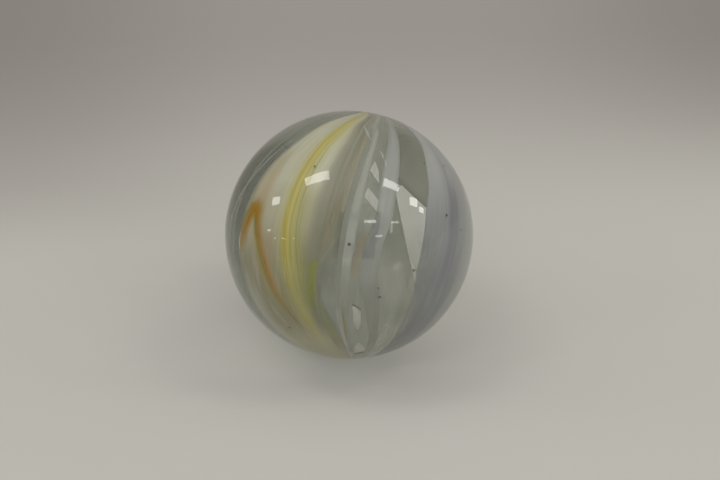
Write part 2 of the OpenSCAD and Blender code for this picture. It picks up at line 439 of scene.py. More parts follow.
def strands(name, lon, lat, half_w, half_t, seed, rise=0.0):
    """Fine strands of glass: lon, lat, half width and half thickness are (strands, stations).

    The section is an ellipse that is flat against the ball, carried along each path."""
    rng = np.random.default_rng(seed)
    n, m = lon.shape
    sides, scatter = 8, 0.000015
    level = rise + rng.uniform(-1, 1, (n, 1)) * scatter
    centre = on_swirl(lon + turn(lat), lat, RIBBON_R + level + 0 * lat)
    ahead = unit(np.gradient(centre, axis=1))
    side = unit(np.cross(ahead, unit(centre)))
    out = np.cross(side, ahead)
    angle = np.linspace(0, 2 * np.pi, sides, endpoint=False)[None, None, :, None]
    rings = (
        centre[:, :, None]
        + side[:, :, None] * half_w[..., None, None] * np.cos(angle)
        + out[:, :, None] * half_t[..., None, None] * np.sin(angle)
    )
    shape = (n, m, sides)
    maps = np.broadcast_to(swirl_map(lon, lat)[:, :, None], (*shape, 2))
    places = painted_places(lon, lat)
    places["shade"] = np.broadcast_to(rng.uniform(-1, 1, (n, 1)), (n, m))
    spread = {key: np.broadcast_to(values[..., None], shape) for key, values in places.items()}
    return closed_tubes(name, rings, maps, spread)


def drawn_strands(name, count, start, end, low, high, width, seed, creep=0):
    """A bundle of strands along the family, spread between two longitudes, each with its own
    ends, wobble and taper. Creep is the share of the yellow glass's drift that they follow."""
    rng = np.random.default_rng(seed)
    v = np.linspace(0, 1, 150)[None]
    lows = low + rng.uniform(0, 6, (count, 1))
    highs = high - rng.uniform(0, 14, (count, 1))
    lat = lows + (highs - lows) * v
    rank = np.linspace(start, end, count)[:, None] + rng.uniform(-0.2, 0.2, (count, 1))
    wander = np.stack([wave(lat[i] / 90, seed + 11 * i, 0.3, 1.6, 4) for i in range(count)])
    pulse = np.stack([wave(lat[i] / 90, seed + 5 + 7 * i, 1.0, 4.0, 4) for i in range(count)])
    lon = rank + 0.3 * wander + creep * drift(lat)
    taper = np.clip(np.sin(np.pi * v), 0, 1) ** 0.4 * np.ones((count, 1))
    own = rng.uniform(0.6, 1.3, (count, 1))
    half = 0.5 * width * own * np.maximum(taper * (1 + 0.3 * pulse), 0.04)
    return strands(name, lon, lat, half, np.maximum(0.00004 * taper, 6e-6), seed)


def hook_strands():
    """Strands that climb the hook's short leg, loop over its top and come down its long leg,
    each beside the middle line at its own share of the half width."""
    ahead = np.gradient(HOOK, axis=0)
    size = np.linalg.norm(ahead, axis=-1)
    count = 9
    shares = np.linspace(-0.55, 0.55, count)[:, None]
    tips = np.clip(np.sin(np.pi * (HOOK_WAY * 0.99 + 0.005)), 0, 1) ** 0.5
    ripple = np.stack([0.15 * wave(HOOK_WAY, 40 + i, 1, 4) for i in range(count)])
    off = shares * (HOOK_HALF * (0.4 + 0.6 * tips))[None] + ripple
    lon = HOOK[:, 0] - off * ahead[:, 1] / size
    lat = HOOK[:, 1] + off * ahead[:, 0] / size
    half = 0.00018 * np.maximum(tips, 0.05) * np.ones((count, 1))
    return strands("amber_strands", lon, lat, half, 0.25 * half, 9)


def wisps(name, paths, width, seed):
    """Single fine strands along set paths, each a list of longitude and latitude, pointed at
    both ends. They lie a tenth of a millimetre over the ribbons."""
    stations, rise = 60, 0.0001
    lines = np.stack([eased_path(path, stations, 9) for path in paths])
    v = np.linspace(0, 1, stations)[None] * np.ones((len(paths), 1))
    half = 0.5 * width * np.maximum(np.sin(np.pi * v), 0.03) ** 0.6
    return strands(name, lines[..., 0], lines[..., 1], half, 0.15 * half, seed, rise)


def haze_sheet(name, start, end, low, high, height):
    """A thin sheet over part of the shell, a set height over the ribbons."""
    across, along, thick = 40, 90, 0.00003
    lon = np.linspace(start, end, across)[None] * np.ones((along, 1))
    lat = np.linspace(low, high, along)[:, None] * np.ones((1, across))
    top = RIBBON_R + height
    faces = [on_swirl(lon + turn(lat), lat, radius) for radius in (top, top - thick)]
    return sheet(name, *faces, swirl_map(lon, lat))


def clear_ball():
    """The ball: a sphere whose radius dips inward by hundredths of a millimetre. The two points
    that close it at its poles are moved out to the sphere."""
    lat = np.radians(np.linspace(-89.2, 89.2, 150))[:, None]
    lon = np.radians(np.linspace(0, 360, 300, endpoint=False))[None]
    x, y = np.cos(lat) * np.sin(lon), -np.cos(lat) * np.cos(lon)
    unit_ball = np.stack([x, y, np.sin(lat) + 0 * lon], -1)
    x, y, z = np.moveaxis(unit_ball, -1, 0)
    dip = 1.2e-5
    dips = dip * (1 + np.sin(3.1 * x + 2.3) * np.sin(2.7 * z + 1.9 * y))
    rings = (unit_ball * (BALL_R - dips)[..., None])[None]
    obj = closed_tubes("clear_ball", rings, np.zeros((*rings.shape[:3], 2)))
    mesh = obj.data
    verts = np.empty(len(mesh.vertices) * 3)
    mesh.vertices.foreach_get("co", verts)
    verts = verts.reshape(-1, 3)
    verts[-2:] = (BALL_R - dip) * unit(verts[-2:])
    mesh.vertices.foreach_set("co", verts.ravel())
    return obj


def seeds(name, size, depth):
    """Tiny flattened specks in the cover: spheroids on the ball's normals. A few have set
    places at the front and the rest are scattered."""
    front = [
        (-17.2, 30.9), (42.9, 32.6), (61.1, 32.2), (59.2, 2.0), (48.4, 8.4), (-61.1, -7.2),
        (0.0, -3.8), (13.4, -23.0), (14.5, -27.3), (29.8, -15.3), (-40.6, -44.9),
    ]
    rng = np.random.default_rng(77)
    count, flat = 14, 0.25
    rest = [rng.uniform(95, 260, count), np.degrees(np.arcsin(rng.uniform(-0.8, 0.9, count)))]
    rest = np.stack(rest, -1)
    places = np.concatenate([front, rest])
    n = len(places)
    big = size * rng.uniform(0.7, 1.25, n)
    centre = on_swirl(places[:, 0], places[:, 1], BALL_R - depth)
    out = unit(centre)
    side = unit(np.cross(out, [0.3, 0.5, 0.8]))
    up = np.cross(out, side)
    s = np.linspace(0.12, np.pi - 0.12, 9)[None, :, None, None]
    t = np.linspace(0, 2 * np.pi, 14, endpoint=False)[None, None, :, None]
    big = big[:, None, None, None]
    rings = (
        centre[:, None, None]
        + big * np.sin(s) * (np.cos(t) * side[:, None, None] + np.sin(t) * up[:, None, None])
        + flat * big * np.cos(s) * out[:, None, None]
    )
    return closed_tubes(name, rings, np.zeros((*rings.shape[:3], 2)))


# ---- finishes


def linear(tone):
    """Linear colour from the 0 to 255 numbers of a display colour."""
    c = np.array(tone, float) / 255
    return (*np.where(c <= 0.04045, c / 12.92, ((c + 0.055) / 1.055) ** 2.4).tolist(), 1.0)


class Value:
    """A number that a finish works out at each point. What plain numbers and other values do
    to it gives new values."""

    def __init__(self, finish, socket):
        self.finish = finish
        self.socket = socket

    def __add__(self, other):
        return self.finish.math("ADD", self, other)

    def __sub__(self, other):
        return self.finish.math("SUBTRACT", self, other)

    def __rsub__(self, other):
        return self.finish.math("SUBTRACT", other, self)

    def __mul__(self, other):
        return self.finish.math("MULTIPLY", self, other)

    def __truediv__(self, other):
        return self.finish.math("DIVIDE", self, other)

    def __abs__(self):
        return self.finish.math("ABSOLUTE", self)

    __radd__ = __add__
    __rmul__ = __mul__

    def ease(self, low, high, to_low=0, to_high=1):
        """Smooth step from to_low at low up to to_high at high."""
        node = self.finish.node("MapRange", self, low, high, to_low, to_high)
        node.interpolation_type = "SMOOTHSTEP"
        return Value(self.finish, node.outputs["Result"])

    def within(self, low, high, soft):
        """1 between low and high, and 0 a soft distance outside them."""
        return self.ease(low - soft, low) * self.ease(high, high + soft, 1, 0)

    def bell(self, centre, width):
        """Bell curve: e to the minus square of the distance from the centre over the width."""
        off = (self - centre) / width
        return self.finish.math("EXPONENT", off * off * -1)


class Finish:
    """One material's node tree, with the nodes that these finishes share as short calls."""

    def __init__(self, name):
        self.material = bpy.data.materials.new(name)
        self.material.use_nodes = True
        self.tree = self.material.node_tree
        self.tree.nodes.clear()
        self.out = self.node("OutputMaterial")
        self.shader = self.node("BsdfPrincipled")
        self.feed(self.out.inputs["Surface"], self.shader.outputs[0])

    def node(self, kind, *values, **named):
        """A new node. Its first sockets take the values, and others take theirs by name."""
        node = self.tree.nodes.new("ShaderNode" + kind)
        for socket, value in zip(node.inputs, values):
            self.feed(socket, value)
        self.give(node, **named)
        return node

    def give(self, node, **named):
        """Sets a node's sockets by name, with _ for a space."""
        for key, value in named.items():
            self.feed(node.inputs[key.replace("_", " ")], value)

    def feed(self, socket, value):
        """Links a value or another socket into a socket, or sets it to a plain number."""
        if isinstance(value, Value):
            value = value.socket
        if isinstance(value, bpy.types.NodeSocket):
            self.tree.links.new(value, socket)
        else:
            socket.default_value = value

    def set(self, **values):
        """Sets the shader's sockets by name."""
        self.give(self.shader, **values)

    def split(self, vector):
        """The three numbers of a vector."""
        return [Value(self, socket) for socket in self.node("SeparateXYZ", vector).outputs]

    def swirl(self):
        """Longitude and latitude in degrees, from the swirl map."""
        node = self.node("UVMap")
        node.uv_map = "swirl"
        lon, lat, _ = self.split(node.outputs[0])
        self.lon, self.lat = lon * UNIT, lat * UNIT
        return self.lon, self.lat

    def object_point(self):
        """Place on the piece."""
        return self.node("TexCoord").outputs["Object"]

    def attribute(self, name):
        """A number that the mesh carries at each point."""
        node = self.node("Attribute")
        node.attribute_name = name
        return Value(self, node.outputs["Fac"])

    def math(self, operation, *numbers):
        node = self.node("Math", *numbers)
        node.operation = operation
        return Value(self, node.outputs[0])

    def noise(self, vector, scale, detail, rough=0.5):
        node = self.node("TexNoise", Vector=vector, Scale=scale, Detail=detail, Roughness=rough)
        return Value(self, node.outputs["Fac"])

    def drawn(self, across, along, seed, detail=3, rough=0.55):
        """Noise drawn out along the ribbon: its grain is across degrees wide, along degrees long."""
        place = self.node("CombineXYZ", self.lon * (1 / across), self.lat * (1 / along), seed)
        return self.noise(place.outputs[0], 1, detail, rough)

    def blend(self, share, a, b):
        """Colour a where share is 0 and b where it is 1. A plain one is a display colour."""
        node = self.node("Mix")
        node.data_type = "RGBA"
        node.clamp_factor = True
        sockets = {socket.identifier: socket for socket in (*node.inputs, *node.outputs)}
        self.feed(sockets["Factor_Float"], share)
        for key, colour in (("A_Color", a), ("B_Color", b)):
            self.feed(sockets[key], linear(colour) if isinstance(colour, tuple) else colour)
        return sockets["Result_Color"]

    def layers(self, colour, *coats):
        """Coats of colour over one another: each is a share and a display colour."""
        for share, tone in coats:
            colour = self.blend(share, colour, tone)
        return colour

    def bump(self, height, strength, distance):
        node = self.node("Bump", Height=height, Strength=strength, Distance=distance)
        self.set(Normal=node.outputs[0])

    def over(self, share, below, above):
        """Shader below where share is 0 and the one above where it is 1."""
        return self.node("MixShader", share, below, above).outputs[0]

    def light_ray(self):
        """1 for rays that carry light to a matt surface, and 0 for those that see it."""
        path = self.node("LightPath")
        return self.math("MAXIMUM", path.outputs["Is Shadow Ray"], path.outputs["Is Diffuse Ray"])

    def lit_through(self, colour, share, passing):
        """Lets light through: a share of the surface is lit from its far side, and a share of
        the light goes on into the ball."""
        soft = self.node("BsdfTranslucent", colour).outputs[0]
        body = self.over(share, self.shader.outputs[0], soft)
        clear = self.node("BsdfTransparent").outputs[0]
        self.feed(self.out.inputs["Surface"], self.over(self.light_ray() * passing, body, clear))


def milk(finish, light, middle, thin, seed, rim=1.6):
    """Milk glass: two tones in drawn lines, and a thinner tone towards the ribbon's edges."""
    lon, lat = finish.swirl()
    fine = finish.drawn(1.6, 70, seed, 4, 0.6)
    broad = finish.drawn(6.5, 110, seed + 3.1, 2, 0.5)
    body = finish.blend(broad.ease(0.35, 0.68), light, middle)
    body = finish.blend(fine.ease(0.46, 0.76) * 0.4, body, thin)
    reach = finish.attribute("inward") + fine * 0.9
    edge = reach.ease(0.35, rim + 0.5, 0.7, 0)
    return finish.blend(edge, body, thin), lon, lat, fine


def close_milk(finish, colour, fine, through=0.25, passing=0.4):
    """Sets a ribbon's shader from its colour, with a soft sheen and fine drawn relief."""
    rough = fine.ease(0.3, 0.7, 0.4, 0.6)
    finish.set(Base_Color=colour, Roughness=rough, Specular_IOR_Level=0.1)
    finish.bump(fine, 0.2, 0.0002)
    finish.lit_through(colour, through, passing)
    return finish.material


def milk_glass(name, light, middle, thin, seed=0, rim=1.6, waist_light_and_shade=(193, 193, 179), low=(147, 148, 133)):
    """Finish of a plain ribbon, with painted light and shade: a painted tone round the ball's middle
    sets how lit it looks there, painted shade greys it towards the bottom, and painted light
    lightens it a little again at the very foot."""
    finish = Finish(name)
    colour, _, lat, fine = milk(finish, light, middle, thin, seed, rim)
    colour = finish.layers(
        colour,
        # painted light and shade: the middle tone sets how lit the ribbon looks round the ball's middle
        (lat.within(-8, 3, 8) * 0.85, waist_light_and_shade),
        # painted shade: greyer towards the bottom
        (lat.ease(-6, -27) * 0.85, low),
        # painted light: lighter again at the very foot
        (lat.ease(-55, -66) * 0.6, (168, 166, 150)),
    )
    return close_milk(finish, colour, fine)


def right_glass():
    """The right ribbon: lilac-grey milk glass in broad soft stripes, darkened low down by painted shade with
    a dark painted reflection.
    """
    finish = Finish("right_ribbon_finish")
    colour, lon, lat, fine = milk(finish, (183, 183, 176), (174, 174, 168), (164, 165, 159), 4)
    place = lon + (finish.drawn(30, 40, 9, 2) - 0.5) * 6
    strand = finish.drawn(2.2, 120, 6, 4, 0.6).ease(0.35, 0.7)
    broad = finish.drawn(7, 90, 17, 2).ease(0.35, 0.65)
    rose = finish.drawn(2.2, 20, 47, 4, 0.6)
    stripe = place.within(50.5, 55, 3.6) * lat.within(-12, 14, 16)
    second = place.bell(49.5, 1.6) * lat.within(-20, 30, 18)
    colour = finish.layers(
        colour,
        # painted shade, with a dark painted reflection low down: the ribbon darkens from its top to its
        # bottom
        (lat.ease(38, 0) * 0.85, (134, 134, 132)),
        (lat.ease(6, -28) * 0.9, (113, 114, 113)),
        (lon.ease(59, 68) * lat.ease(46, 22) * 0.85, (151, 151, 144)),
        (lon.ease(60, 74) * lat.ease(-12, -40) * 0.5, (134, 135, 131)),
        (place.within(48, 58, 7) * 0.3, (140, 140, 143)),
        (broad * 0.18, (138, 139, 142)),
        (strand * 0.14, (166, 166, 162)),
        (rose.ease(0.5, 0.72) * 0.25, (172, 168, 158)),
        (stripe * 0.7, (124, 124, 127)),
        (second * 0.4, (126, 126, 130)),
        (lon.ease(41, 37) * lat.ease(10, -20) * 0.35, (112, 116, 112)),
    )
    return close_milk(finish, colour, fine)


def veil_glass():
    """The veil: thin warm grey glass with fine tan lines, darkened below its upper part by painted shade,
    bluish and lighter low down, and lightest at its foot by painted light.

    Beside the wide ribbon's edge it takes that ribbon's warm tone low down."""
    finish = Finish("veil_finish")
    lon, lat = finish.swirl()
    fine = finish.drawn(1.1, 60, 12, 4, 0.6)
    broad = finish.drawn(3.5, 60, 15, 2)
    colour = finish.blend(broad.ease(0.35, 0.65), (163, 160, 141), (153, 151, 132))
    line = lat.ease(26, -6, -5.8, -10.4)
    tan = lon.bell(line, 0.8) * lat.within(2, 46, 14)
    tan_2 = lon.bell(line - 2.4, 0.7) * lat.within(8, 50, 12)
    olive = lon.bell(-12.4, 1.6) * lat.within(-4, 35, 14)
    cloud = finish.drawn(2.4, 9, 51, 4, 0.6)
    border = lon - lat.ease(-24, -56, -12.6, -3.6)
    warm = border.ease(1, -1)
    streak = lat + 11.8 - (lon + 11.2) * 1.85
    colour = finish.layers(
        colour,
        # painted shade: darker below the veil's upper part
        (lat.ease(24, 2) * 0.8, (134, 131, 107)),
        (fine.ease(0.45, 0.75) * 0.3, (138, 137, 117)),
        (olive * 0.5, (136, 135, 113)),
        (tan * (0.25 + fine * 0.5), (156, 143, 112)),
        (tan_2 * 0.35, (154, 144, 118)),
        (lat.ease(-3, -17) * 0.8, (126, 128, 114)),
        (streak.bell(0, 1.5) * lat.within(-10, 6, 4) * 0.4, (152, 152, 136)),
        (cloud.ease(0.42, 0.66) * lat.ease(-4, -16) * 0.45, (152, 154, 139)),
        (border.ease(0.5, 2.5) * lat.within(-40, -28, 6) * 0.8, (155, 157, 142)),
        (warm * 0.9, (141, 143, 103)),
        (warm * lat.ease(-42, -54) * 0.9, (147, 144, 111)),
        (lon.ease(-11.2, -12.6) * lat.ease(-6, 8) * 0.7, (141, 138, 119)),
        # painted light: lighter at the very foot
        (lat.ease(-55, -66) * 0.6, (168, 166, 148)),
    )
    return close_milk(finish, colour, fine, 0.35, 0.5)


def back_glass():
    """Back ribbons: thin olive-grey glass, in drawn lines, mottled and greyer low down. Past
    longitude 190 they are darker."""
    finish = Finish("back_ribbon_finish")
    colour, lon, lat, fine = milk(finish, (198, 198, 188), (191, 191, 179), (183, 183, 170), 8)
    cloud = finish.drawn(4, 7, 21)
    low = lat.ease(4, -8)
    patch = lon.within(170.5, 173.5, 2) * lat.within(-12, -7, 4)
    tint = (lon + lat * 0.46).bell(176.3, 1) * lat.within(-8, -1.5, 3)
    colour = finish.layers(
        colour,
        (lon.ease(185, 190) * 0.9, (154, 155, 144)),
        (cloud.ease(0.5, 0.72) * (0.15 + low * 0.5), (198, 196, 184)),
        (cloud.ease(0.5, 0.3) * 0.3, (164, 163, 151)),
        (low * 0.65, (160, 159, 147)),
        (patch * 0.6, (206, 204, 192)),
        (tint * 0.55, (196, 168, 122)),
    )
    return close_milk(finish, colour, fine, 0.5, 0.65)


def yellow_coats(finish, lat, strand, some):
    """The yellow glass: a pale wash, a broad line that widens towards the top, and fine lines
    over it, which fade out at both ends."""
    sway = (finish.drawn(16, 34, 7, 2) - 0.5) * 1.6
    flow = finish.attribute("flow") + sway + lat.ease(42, 62, 0, -2)
    wash = flow.bell(-27.5, 7) * lat.ease(-66, -40) * 0.45
    fade = (0.3 + lat.ease(-26, -4) * 0.7) * lat.ease(68, 46, 0.7, 1)
    main = flow.bell(-29.3, 2.5 + lat.ease(24, 50) * 1.2)
    main = main * (0.45 + strand * 0.35) * fade * lat.ease(-62, -40)

    def line(place, width, share):
        return flow.bell(place, width) * some * fade * share

    return [
        (wash, (184, 180, 118)),
        (main * 0.95, (188, 172, 76)),
        (line(-33.6, 0.5, 0.35), (176, 170, 104)),
        (line(-31.4, 0.5, 0.7), (180, 160, 48)),
        (line(-30.2, 0.5, 0.85), (176, 156, 30)),
        (line(-28.9, 0.4, 0.5), (196, 190, 148)),
        (line(-27.7, 0.5, 0.75), (174, 158, 46)),
        (line(-26.4, 0.4, 0.3), (192, 186, 140)),
        (line(-25.2, 0.6, 0.55), (166, 158, 72)),
        (line(-23.6, 0.7, 0.55) * lat.ease(26, 8), (152, 148, 72)),
        # painted shade: the broad yellow line darkens towards the bottom
        (main * lat.ease(6, -14) * 0.4, (140, 138, 70)),
    ]


def hook_coats(finish, strand):
    """The amber hook: a dull yellow fringe, olive on its left and tan on its right, and a core
    that is deepest over its top."""
    away, way = finish.attribute("hook"), finish.attribute("hook_way")
    on_right = finish.attribute("hook_side").ease(-0.6, 0.6)
    ends = way.ease(0.02, 0.11) * way.ease(0.95, 0.5)
    left = away.bell(0.9, 0.6) * (1 - on_right) * ends
    right = away.bell(1.1, 0.8) * on_right * ends
    core = away.bell(0, 0.9) * ends
    top = way.within(0.1, 0.27, 0.09)
    rust = away.bell(0.5, 0.35) * on_right * ends * strand * way.ease(0.3, 0.4)
    return [
        (away.bell(0.2, 2) * ends * 0.7, (156, 142, 76)),
        (left * 0.6, (130, 122, 40)),
        (right * (0.25 + strand * 0.4), (160, 112, 58)),
        (core * (0.62 + top * 0.38), (146, 115, 18)),
        (core * top * 0.85, (164, 122, 4)),
        (rust * 0.4, (140, 84, 40)),
    ]


def paint_wide(finish):
    """Colour of the wide ribbon and of the drawn glass in it: warm milk glass with soft lines
    of yellow, the amber hook, a lime patch, and a greyer right side that runs into the veil,
    with a painted highlight near its top, painted shade towards the bottom and painted light
    at its foot."""
    colour, lon, lat, fine = milk(finish, (194, 191, 167), (186, 183, 159), (175, 172, 149), 0, 2)
    strand = finish.drawn(0.8, 80, 5, 4, 0.65).ease(0.34, 0.68)
    some = 0.45 + strand * 0.55
    rose = finish.drawn(2.6, 26, 43, 4, 0.6)
    margin = finish.attribute("inward").ease(3, 0.2) * lon.ease(-40, -48)
    east = lon + lat.ease(44, 62, 1, 3)
    stroke = lon + 11.6 - lat * 0.165
    colour = finish.layers(
        colour,
        # painted highlight: lighter cream round a lamp's reflection near the top
        (lon.within(-23.5, -20, 3.5) * lat.within(27, 40, 10) * 0.6, (200, 196, 177)),
        (lon.within(-57, -47, 6) * lat.within(14, 34, 12) * 0.6, (162, 152, 122)),
        # darker and more olive towards the bottom: partly the glass's olive tint, partly painted shade
        (lat.ease(22, -15) * 0.88, (130, 126, 95)),
        (lon.ease(-27, -22) * lat.ease(26, 8) * 0.45, (160, 156, 124)),
        (lon.within(-22, -14, 4) * lat.within(-45, -7, 12) * 0.65, (120, 117, 84)),
        (lon.within(-52, -44, 4) * lat.within(-24, -10, 9) * 0.45, (130, 126, 98)),
        (lon.bell(-47, 3) * lat.within(17, 27, 7) * 0.5, (184, 160, 130)),
        (lon.within(-46, -36, 5) * lat.within(-2, 18, 8) * 0.35, (166, 154, 128)),
        (lon.ease(-42, -53) * lat.ease(-12, -32) * 0.75, (166, 166, 150)),
        (rose.ease(0.5, 0.7) * 0.45, (184, 168, 152)),
        (rose.ease(0.48, 0.3) * 0.35, (154, 156, 132)),
        (lon.within(-24, -17, 3) * lat.within(0, 14, 9) * 0.4, (150, 147, 120)),
        (lon.within(-31, -21, 4) * lat.within(-38, -22, 8) * 0.35, (112, 109, 80)),
        (lon.within(-39.5, -36, 2) * lat.within(-20, -3, 6) * 0.45, (164, 138, 114)),
        *yellow_coats(finish, lat, strand, some),
        (margin * (0.25 + lat.ease(-6, 18) * 0.55), (134, 134, 120)),
        *hook_coats(finish, strand),
        (east.ease(-19.6, -13.2) * 0.9, (144, 141, 122)),
        # painted shade: the greyer right side darkens downwards
        (east.ease(-18, -12.5) * lat.ease(22, -2) * 0.6, (127, 124, 102)),
        (lon.ease(-16, -12) * lat.ease(-16, -32) * 0.5, (132, 133, 110)),
        (lon.bell(-16.4, 3.6) * lat.within(-29, -15, 8) * some * 0.75, (130, 132, 62)),
        (stroke.bell(0, 1.3) * lat.within(-26, -13, 4) * some * 0.85, (139, 147, 26)),
        # painted light: lighter at the foot
        (lat.ease(-40, -56) * 0.65, (174, 170, 138)),
    )
    return colour, fine


def wide_glass():
    """The wide ribbon's finish."""
    finish = Finish("wide_ribbon_finish")
    colour, fine = paint_wide(finish)
    return close_milk(finish, colour, fine, 0.25, 0.35)


def strand_glass(name, tone, share):
    """Drawn glass in the wide ribbon: the ribbon's own paint, tinted by a share of a tone, and
    each strand a little lighter or darker than the next."""
    finish = Finish(name)
    colour, fine = paint_wide(finish)
    colour = finish.blend(share, colour, tone)
    value = finish.attribute("shade").ease(-1, 1, 0.9, 1.08)
    shaded = finish.node("HueSaturation", Value=value, Color=colour).outputs[0]
    return close_milk(finish, shaded, fine)


def speck_glass(name, tone):
    """Specks of ash or air: one mottled tone."""
    finish = Finish(name)
    cloud = finish.noise(finish.object_point(), 2500, 2)
    dark = tuple(0.8 * v for v in tone)
    finish.set(Base_Color=finish.blend(cloud, tone, dark), Roughness=0.5)
    return finish.material


def haze_glass(name, tone, sides, ends, grain, most, strokes=()):
    """Wisps of thin white glass: see-through, in drawn lines that fade out at every side. The
    low haze is painted light and the window haze painted shade.

    Sides and ends are the longitudes and latitudes between which the wisps are full, each with
    its softness. Each stroke makes them closer along a line: a longitude at its low end, how
    far that moves for a degree of latitude, a width, the low and high end, how softly it ends,
    and a share, which is less than 0 where the wisps are thinner."""
    finish = Finish(name)
    lon, lat = finish.swirl()
    line = finish.drawn(grain, 60, 31, 3, 0.6).ease(0.3, 0.7)
    close = most
    for start, slope, width, bottom, top, fade, share in strokes:
        across = lon.bell((lat - bottom) * slope + start, width)
        close = close + across * lat.within(bottom, top, fade) * share
    cloud = finish.noise(finish.object_point(), 180, 2)
    colour = finish.blend(cloud, tone, tuple(0.94 * v for v in tone))
    finish.set(Base_Color=colour, Roughness=0.5, Specular_IOR_Level=0)
    finish.set(Alpha=lon.within(*sides) * lat.within(*ends) * (0.35 + line * 0.65) * close)
    return finish.material


def clear_glass():
    """Clear glass with a faint green cast in its depth. Lamps light what is inside it."""
    finish = Finish("clear_glass_finish")
    finish.set(Base_Color=(1, 1, 1, 1), Roughness=0, IOR=1.5, Transmission_Weight=1)
    open_way = finish.node("BsdfTransparent", (0.96, 0.965, 0.96, 1)).outputs[0]
    body = finish.over(finish.light_ray(), finish.shader.outputs[0], open_way)
    finish.feed(finish.out.inputs["Surface"], body)
    depth = finish.node("VolumeAbsorption", Color=(0.58, 0.67, 0.52, 1), Density=4)
    finish.feed(finish.out.inputs["Volume"], depth.outputs[0])
    return finish.material


# ---- pieces


def dress(obj, finish, slot, *nodes):
    """Gives a piece its finish and its body, and hides the nodes that it stands for. The slot is not used.
    """
    obj.data.materials.append(finish)
    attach(obj, "root")
    if nodes:
        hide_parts(*nodes)
    return obj


def wide_edges(lat, left, right):
    """The wide ribbon narrows towards its top, and its left edge leans out low down."""
    lean = np.clip(0.05 * (lat - 20), -2.5, 0) - 1.6 * smooth(lat, 4, 14) + 5.0 * smooth(lat, 22, 54)
    lean = lean - 1.6 * between(lat, -30, -4, 0, 16)
    return left + lean, right - 3.0 * smooth(lat, 46, 62)


def veil_edges(lat, _, right):
    """The veil's left edge follows the wide ribbon's right edge, and lies a little under it."""
    return -12.7 + 0.35 * wave(way_up(lat), 2, 0.6, 4.0) - 3.0 * smooth(lat, 46, 62), right


def narrow_edges(lat, left, right):
    """The narrow ribbon is thinner on its left above the ball's middle, and leans left at its top."""
    top = 3.0 * smooth(lat, 50, 60)
    left = left - 0.3 + 0.7 * between(lat, 16, 28, 42, 50)
    return left - top, right + 0.2 - top


def middle_edges(lat, left, right):
    """The middle ribbon steps left where it passes the ball's middle, and back right low down."""
    step = 2.7 * between(lat, 9, -7, -16, -32)
    back = np.clip(0.22 * (-24 - lat), 0, 6)
    left = left - 0.4 - 0.6 * smooth(lat, 12, 4) - step + back
    return left, right - 0.4 - step - 0.6 * smooth(lat, 50, 60) + 0.7 * back


def right_edges(lat, left, right):
    """The right ribbon's left edge bulges out round the ball's middle, and goes in near its top."""
    bulge = between(lat, 24, 8, -14, -26)
    return left - 0.6 - 2.1 * bulge + 0.9 * smooth(lat, 28, 44), right


white = milk_glass("white_ribbon_finish", (173, 173, 161), (165, 166, 154), (154, 155, 142))
middle = milk_glass("middle_ribbon_finish", (168, 168, 158), (157, 158, 150), (143, 144, 135), 2, 2.2,
                    (151, 151, 142), (137, 138, 125))
# painted shade: white glass written in dim grey where it runs along the ball's left rim
shaded_rim_thread = milk_glass("shaded_rim_thread_finish", (136, 138, 127), (131, 133, 122), (126, 128, 117), 11, 0.3,
                    (130, 132, 121), (136, 138, 127))
back = back_glass()
veil = veil_glass()

dress(clear_ball(), clear_glass(), "clear_glass", "clear_glass")
wide_band = ribbon("wide_band", -54.5, -12, 1, across=90, along=320, edges=wide_edges)
dress(wide_band, wide_glass(), "white_glass", "wide_ribbon")
veil_band = ribbon("veil_band", -13, -4, 21, 0.0006, depth=0.00006, edges=veil_edges)
dress(veil_band, veil, "veil_glass", "grey_veil")
bands = [
    (ribbon("narrow_band", -1.2, 2.3, 31, wobble=0.25, edges=narrow_edges), white, "narrow_ribbon"),
    (ribbon("middle_band", 10, 18, 41, edges=middle_edges), middle, "middle_ribbon"),
    (ribbon("right_band", 36.5, 82, 51, across=64, edges=right_edges), right_glass(), "right_ribbon"),
    (ribbon("side_band", 98, 122, 61, across=40), back, "side_ribbon"),
    (branch_band(), back, "back_ribbon_1"),
    (slit_band(), back, "back_ribbon_2"),
    (ribbon("back_band_3", 187.6, 197, 91, wobble=0.3, depth=0.00008), back, "back_ribbon_3"),
    (ribbon("back_band_4", 200, 214, 101), back, "back_ribbon_4"),
    (ribbon("left_band", 222, 236, 111), back, "left_ribbon"),
    (ribbon("rim_thread", -65.7, -63.8, 121, wobble=0.2, across=12), shaded_rim_thread, "fine_thread"),
]
for piece, finish, node in bands:
    dress(piece, finish, "white_glass", node)

# A short name, the glass, its tone and how the bundle lies
bundles = [
    ("yellow", "yellow", (176, 164, 60), (9, -32, -28.8, -34, 74, 0.0004, 5, 1)),
    ("pale", "pale_yellow", (176, 168, 84), (5, -27.4, -25, -32, 44, 0.00034, 6, 1)),
    ("lime", "lime", (146, 150, 70), (7, -18.8, -14.2, -46, -8, 0.00036, 7)),
]
for name, glass, tone, lie in bundles:
    finish = strand_glass(f"{name}_strand_finish", tone, 0.12)
    dress(drawn_strands(f"{name}_strands", *lie), finish, f"{glass}_glass", f"{glass}_streak")
dress(drawn_strands("tan_strands", 6, -9.6, -6.6, 0, 56, 0.00034, 8), veil, "tan_glass", "tan_streak")
amber = strand_glass("amber_strand_finish", (150, 100, 20), 0.1)
dress(hook_strands(), amber, "amber_glass", "amber_streak")

wisp_white = milk_glass("wisp_finish", (182, 183, 171), (174, 175, 163), (166, 167, 155), 14)
slivers = [
    [(-12.4, 58.2), (-6.5, 52.2), (-1.0, 45.2)],
    [(-10.4, 56.0), (-5.6, 50.4), (-2.0, 46.4)],
    [(9.6, 34.6), (10.3, 32.4), (10.8, 30.3)],
    [(5.9, 39.4), (7.6, 37.0), (9.0, 34.4)],
]
dress(wisps("white_wisps", slivers, 0.0006, 15), wisp_white, "white_glass")
